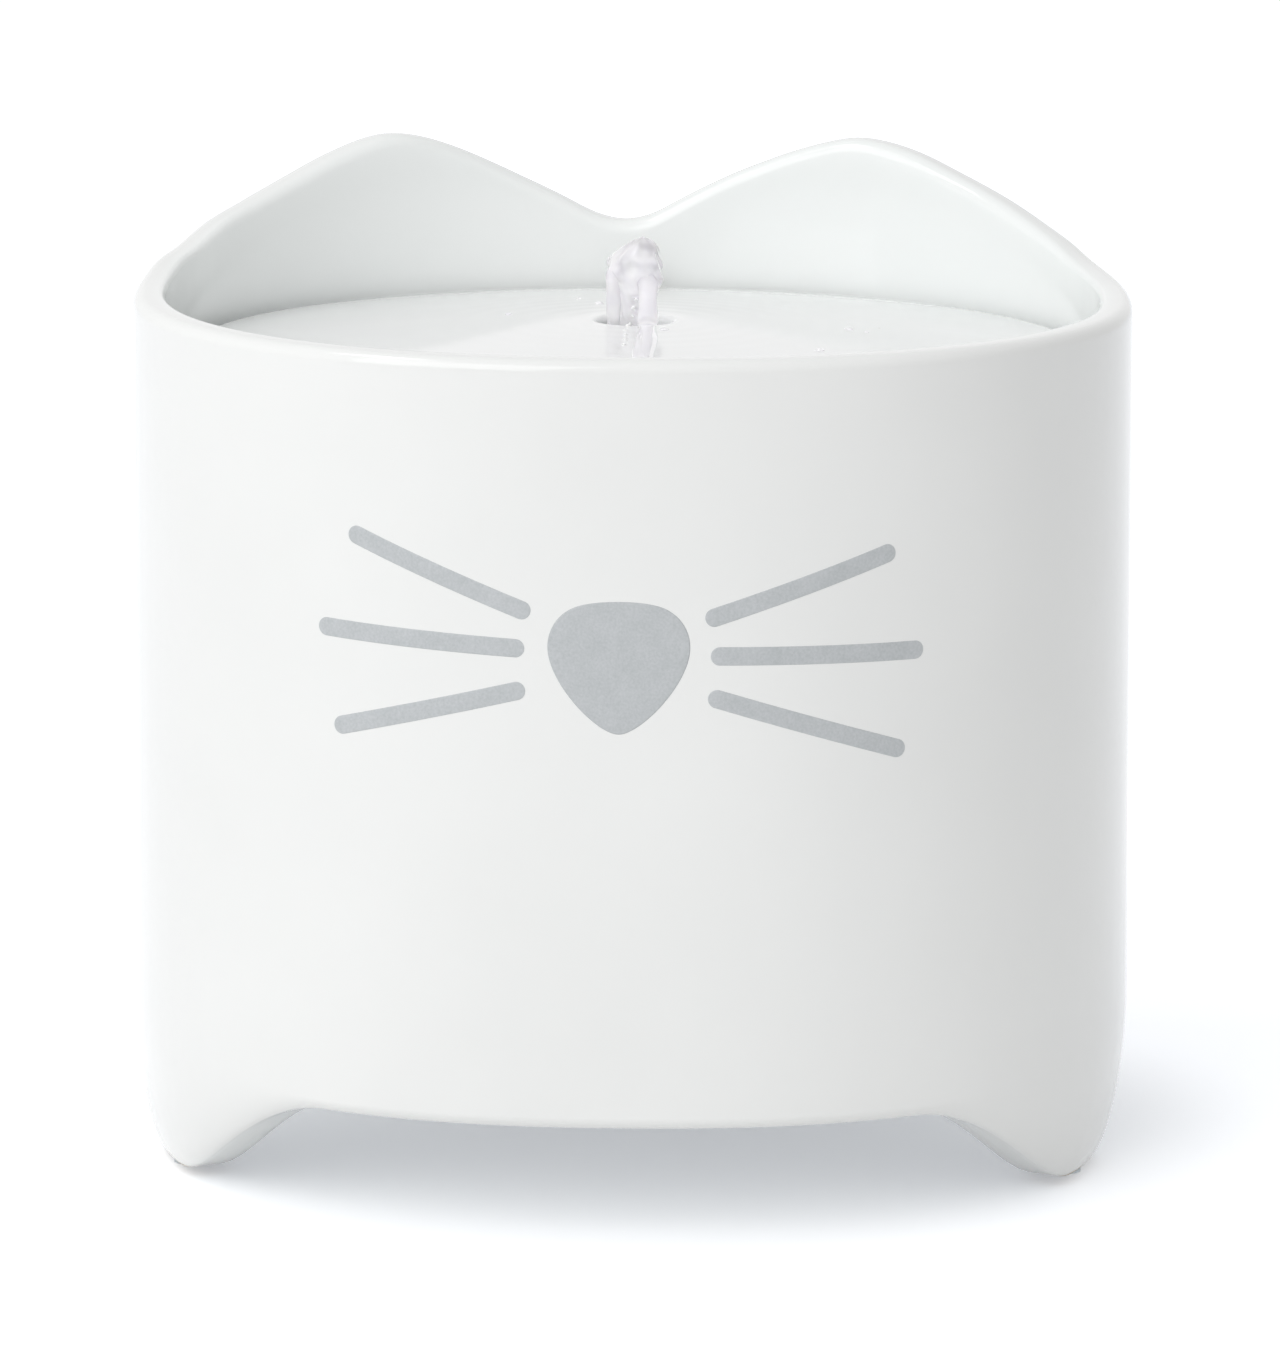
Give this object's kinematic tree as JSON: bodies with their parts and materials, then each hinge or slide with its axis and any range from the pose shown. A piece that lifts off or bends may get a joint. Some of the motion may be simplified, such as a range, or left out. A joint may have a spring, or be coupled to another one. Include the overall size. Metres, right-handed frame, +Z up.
{
  "type": "pet water fountain",
  "caption": "Ceramic pet drinking fountain: round bowl on three feet with an ear-shaped rim, a domed drinking plate with a central outlet, and a pump in a filter case beneath.",
  "frame": {"origin": "middle of the ground plane under the three feet", "axes": "+Z up, front with the printed face towards -Y, ears at the back towards +Y, +X to the right seen from the front"},
  "size_m": [0.2, 0.2, 0.1915],
  "materials": {
    "glazed_ceramic": "glossy white glaze with a matt silver-grey printed nose and whiskers",
    "plate_ceramic": "glossy white glaze",
    "white_plastic": "satin",
    "clear_plastic": "clear, glossy",
    "clear_soft": "milky, satin",
    "rubber": "matt black",
    "dark_plastic": "satin dark grey",
    "impeller_plastic": "satin",
    "foam": "open-cell foam, matt",
    "carbon": "granular, matt",
    "fleece": "felted, matt",
    "shaft_ceramic": "ground, satin",
    "magnet": "ground, matt",
    "core_iron": "laminated, satin",
    "coil_wire": "enamelled copper winding, glossy"
  },
  "bodies": {
    "base": {"bowl": "glazed_ceramic", "foot_pad_left": "clear_soft", "foot_pad_right": "clear_soft", "foot_pad_back": "clear_soft", "riser_tube": "clear_plastic", "riser_sleeve": "clear_soft", "riser_adapter": "clear_soft", "filter_case": "white_plastic", "filter_tray": "white_plastic", "foam_ring": "foam", "carbon_bed": "carbon", "fleece_lower": "fleece", "fleece_upper": "fleece", "pump_body": "dark_plastic", "pump_cover": "dark_plastic", "rear_bush": "rubber", "front_bush": "rubber", "shaft": "shaft_ceramic", "motor_core": "core_iron", "motor_coil": "coil_wire", "lead_gland": "rubber", "suction_cup_1": "clear_soft", "suction_cup_2": "clear_soft", "suction_cup_3": "clear_soft", "suction_cup_4": "clear_soft"},
    "plate": {"plate": "plate_ceramic"},
    "filter_grid": {"filter_grid": "white_plastic"},
    "rotor": {"impeller": "impeller_plastic", "rotor_magnet": "magnet"},
    "flow_slide": {"flow_slide": "white_plastic"}
  },
  "joints": [
    {"name": "plate_lift", "type": "slide", "parent": "base", "child": "plate", "axis": [0, 0, 1], "range_m": [0, 0.06]},
    {"name": "grid_lift", "type": "slide", "parent": "base", "child": "filter_grid", "axis": [0, 0, 1], "range_m": [0, 0.03]},
    {"name": "rotor_spin", "type": "hinge", "parent": "base", "child": "rotor", "pos_m": [0, 0, 0.0522], "axis": [0, 1, 0], "continuous": true},
    {"name": "flow_adjust", "type": "slide", "parent": "base", "child": "flow_slide", "axis": [0, 0, -1], "range_m": [0, 0.007]}
  ]
}
